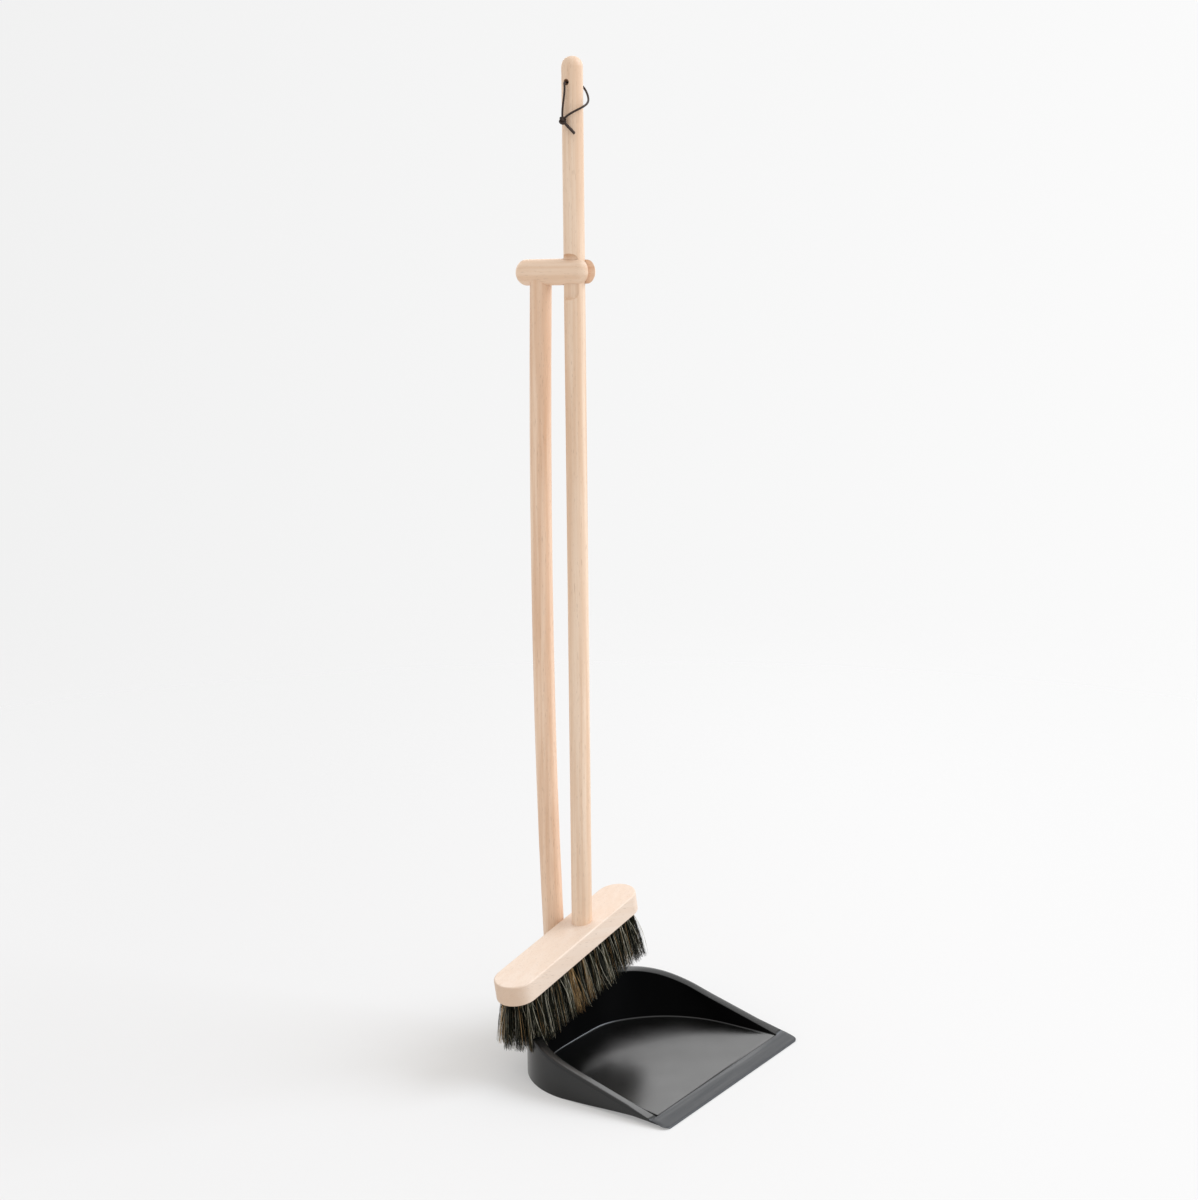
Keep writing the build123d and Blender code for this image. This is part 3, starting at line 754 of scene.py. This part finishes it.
def clear_shift(point, tip):
    """Move that takes a hair's point off the rim, the socket and the pan handle.

    Three in five of the hairs that reach less than REST_DEPTH under the rim lie on it. The others
    bend to its outside or inside.
    """
    x, y, z = point
    shift = Vector((0, 0, 0))
    out = off_outline(x, y)
    depth = rim_height(y) + HAIR_ROOM - z
    if depth > 0 and -RIM_BAND - HAIR_ROOM - INNER_SLOPE * depth < out < HAIR_ROOM:
        if depth < REST_DEPTH and round(tip.x * 1e6) % 5 < 3:
            shift.z = depth
        elif off_outline(tip.x, tip.y) > -OVER_RIM * RIM_BAND:
            shift.xy = outward(x, y) * (HAIR_ROOM - out)
        else:
            shift.xy = -outward(x, y) * (out + RIM_BAND + HAIR_ROOM + INNER_SLOPE * depth)
    keep = SOCKET_KEEP if z < SOCKET_OVER else HANDLE_KEEP
    gap = math.hypot(x, y - z * math.tan(SOCKET_LEAN))
    if gap < keep:
        shift.y -= keep - gap + FORWARD_PUSH * abs(x)
    return shift


def hair_line(root, tip, curl, steps=7):
    """Points of one hair from root to tip, bowed sideways by curl."""
    shares = [k / (steps - 1) for k in range(steps)]
    return [root.lerp(tip, t) + curl * math.sin(math.pi * t ** BOW_POWER) for t in shares]


def pushed_clear(line):
    """The hair bent, most at its tip, to keep its points out of the pan."""
    tip, last = line[-1], len(line) - 1
    for _ in range(BEND_PASSES):
        worst = max((clear_shift(p, tip) for p in line[2:]), key=lambda v: v.length)
        if worst.length < BEND_END:
            break
        line = [p + worst * (k / last) ** BEND_POWER for k, p in enumerate(line)]
    return line


def add_hair(line, radius, kind, points, faces, kinds):
    """One hair as a thin tapered tube."""
    first = len(points)
    for k, p in enumerate(line):
        along = (line[min(k + 1, len(line) - 1)] - line[max(k - 1, 0)]).normalized()
        side = along.cross(Vector((0.3, 1, 0.2))).normalized()
        other = along.cross(side)
        thick = radius * (1 - TAPER * (k / (len(line) - 1)) ** 2)
        for s in range(SIDES):
            angle = 2 * math.pi * s / SIDES
            points.append(p + (side * math.cos(angle) + other * math.sin(angle)) * thick)
    for k in range(len(line) - 1):
        for s in range(SIDES):
            a, b = first + k * SIDES + s, first + k * SIDES + (s + 1) % SIDES
            faces.append((a, b, b + SIDES, a + SIDES))
            kinds.append(kind)
    last = first + (len(line) - 1) * SIDES
    faces.append(tuple(last + s for s in range(SIDES)))
    kinds.append(kind)


def in_disc(radius):
    """Random place in a level disc of this radius."""
    angle, reach = random.uniform(0, 2 * math.pi), radius * math.sqrt(random.random())
    return Vector((reach * math.cos(angle), reach * math.sin(angle), 0))


def hair_kind(blond):
    """Index in HAIRS of a hair's tone: black, grey, tan or pale."""
    return random.choices(range(len(HAIRS)), BLOND_TUFT if blond else DARK_TUFT)[0]


def bristles(row):
    """All the hairs of one row, with a few stray ones and a few blond tufts."""
    points, faces, kinds = [], [], []
    middle = (BLOCK_FAR - BLOCK_NEAR) / 2
    for x, y in tuft_roots(row):
        blond = random.random() < BLOND_TUFTS
        lean = Vector((random.gauss(0, LEAN), random.gauss(0, LEAN), 0))
        spread = NEAR_SPREAD if x < middle else FAR_SPREAD
        for _ in range(HAIRS_PER_TUFT):
            stray = random.random() < STRAYS
            spot = in_disc(1.0)
            root = Vector((x, y, -BLOCK_THICK + SUNK)) + spot * ROOT_R
            if stray:
                share = random.uniform(*STRAY_SHARE)
            else:
                share = min(random.gauss(*LENGTH_SHARE), MOST_SHARE)
            reach = (HAIR_LENGTH + LONGER_NEAR * max(middle - x, 0)) * share
            tip = Vector((middle + (x - middle) * spread, y * ROW_SPREAD, -BLOCK_THICK - reach))
            tip += spot * TIP_R + lean + in_disc(STRAY_LOOSE if stray else LOOSE)
            curl = in_disc(STRAY_CURL if stray else CURL)
            line = [BLOCK_PLACE @ p for p in hair_line(root, tip, curl)]
            radius = random.uniform(THIN, THICK)
            kind = PALE if stray and random.random() < PALE_STRAYS else hair_kind(blond)
            add_hair(pushed_clear(line), radius, kind, points, faces, kinds)
    mesh = mesh_from(f"hair_{row}", points, faces)
    for material in HAIRS:
        mesh.materials.append(material)
    mesh.polygons.foreach_set("material_index", kinds)
    return mesh


for row in ROWS:
    add(f"hair_{row}", bristles(row), "broom", [f"bristles_{row}"])


# ------------------------------------------------------------------ floor and light
KEY_PLACE, KEY_COLOUR = (0.643, -0.766, 0.78), (0.915, 1.0, 1.12)
KEY_STRENGTH, KEY_ANGLE = 1.8, math.radians(40)
BOX_PLACE, BOX_TARGET, BOX_SIZE, BOX_POWER = (1.85, 1.9, 1.85), (0, -0.1, 0.1), (3.6, 1.2), 25
# how far to either side of the middle the backdrop's tone changes
BACKDROP_SPAN = 0.33


def studio_floor(radius=8, sides=96):
    """Wide disc of seamless paper under the object."""
    points, faces = [Vector((0, 0, 0))], []
    for k in range(sides):
        angle = 2 * math.pi * k / sides
        points.append(Vector((radius * math.cos(angle), radius * math.sin(angle), 0)))
    for k in range(sides):
        faces.append((0, 1 + k, 1 + (k + 1) % sides))
    floor = bpy.data.objects.new("studio_floor", mesh_from("studio_floor", points, faces, smooth=False))
    bpy.context.scene.collection.objects.link(floor)
    floor.data.materials.append(paper("studio_paper"))
    return floor


def aim(light, place, target):
    """Put a light in its place, turned towards the target."""
    bpy.context.scene.collection.objects.link(light)
    light.location = place
    light.rotation_euler = (Vector(target) - Vector(place)).to_track_quat("-Z", "Y").to_euler()


def wide_key():
    """Broad, slightly cool main light from far away."""
    data = bpy.data.lights.new("key", "SUN")
    data.energy, data.angle, data.color = KEY_STRENGTH, KEY_ANGLE, KEY_COLOUR
    aim(bpy.data.objects.new("key", data), KEY_PLACE, (0, 0, 0))


def soft_box():
    """Rectangular light behind the object that the camera doesn't see."""
    data = bpy.data.lights.new("back_box", "AREA")
    data.shape, data.energy = "RECTANGLE", BOX_POWER
    data.size, data.size_y = BOX_SIZE
    light = bpy.data.objects.new("back_box", data)
    light.visible_camera = False
    aim(light, BOX_PLACE, BOX_TARGET)
    return light


def leave_unlit(light, thing):
    """Keep this light off one object."""
    group = bpy.data.collections.new(f"not_lit_by_{light.name}")
    group.objects.link(thing)
    light.light_linking.receiver_collection = group
    group.collection_objects[0].light_linking.link_state = "EXCLUDE"


def backdrop():
    """Pale surroundings, a touch brighter on the key light's side."""
    world = bpy.data.worlds.new("studio")
    world.use_nodes = True
    tree = world.node_tree
    toward = tree.nodes.new("ShaderNodeTexCoord").outputs["Generated"]
    across = tree.nodes.new("ShaderNodeVectorMath")
    across.operation = "DOT_PRODUCT"
    across.inputs[1].default_value = LIGHT_SIDE
    tree.links.new(toward, across.inputs[0])
    ramp = tree.nodes.new("ShaderNodeMapRange")
    ramp.inputs["From Min"].default_value = -BACKDROP_SPAN
    ramp.inputs["From Max"].default_value = BACKDROP_SPAN
    tree.links.new(across.outputs["Value"], ramp.inputs["Value"])
    blend = tree.nodes.new("ShaderNodeMix")
    blend.data_type = "RGBA"
    tree.links.new(ramp.outputs["Result"], blend.inputs[0])
    blend.inputs[6].default_value = (*BACKDROP_DIM, 1)
    blend.inputs[7].default_value = (*BACKDROP_BRIGHT, 1)
    tree.links.new(blend.outputs[2], tree.nodes["Background"].inputs["Color"])
    bpy.context.scene.world = world


studio_paper = studio_floor()
backdrop()
wide_key()
leave_unlit(soft_box(), studio_paper)
bpy.context.scene.view_settings.view_transform = "Standard"

# ------------------------------------------------------------------ update
bpy.context.view_layer.update()
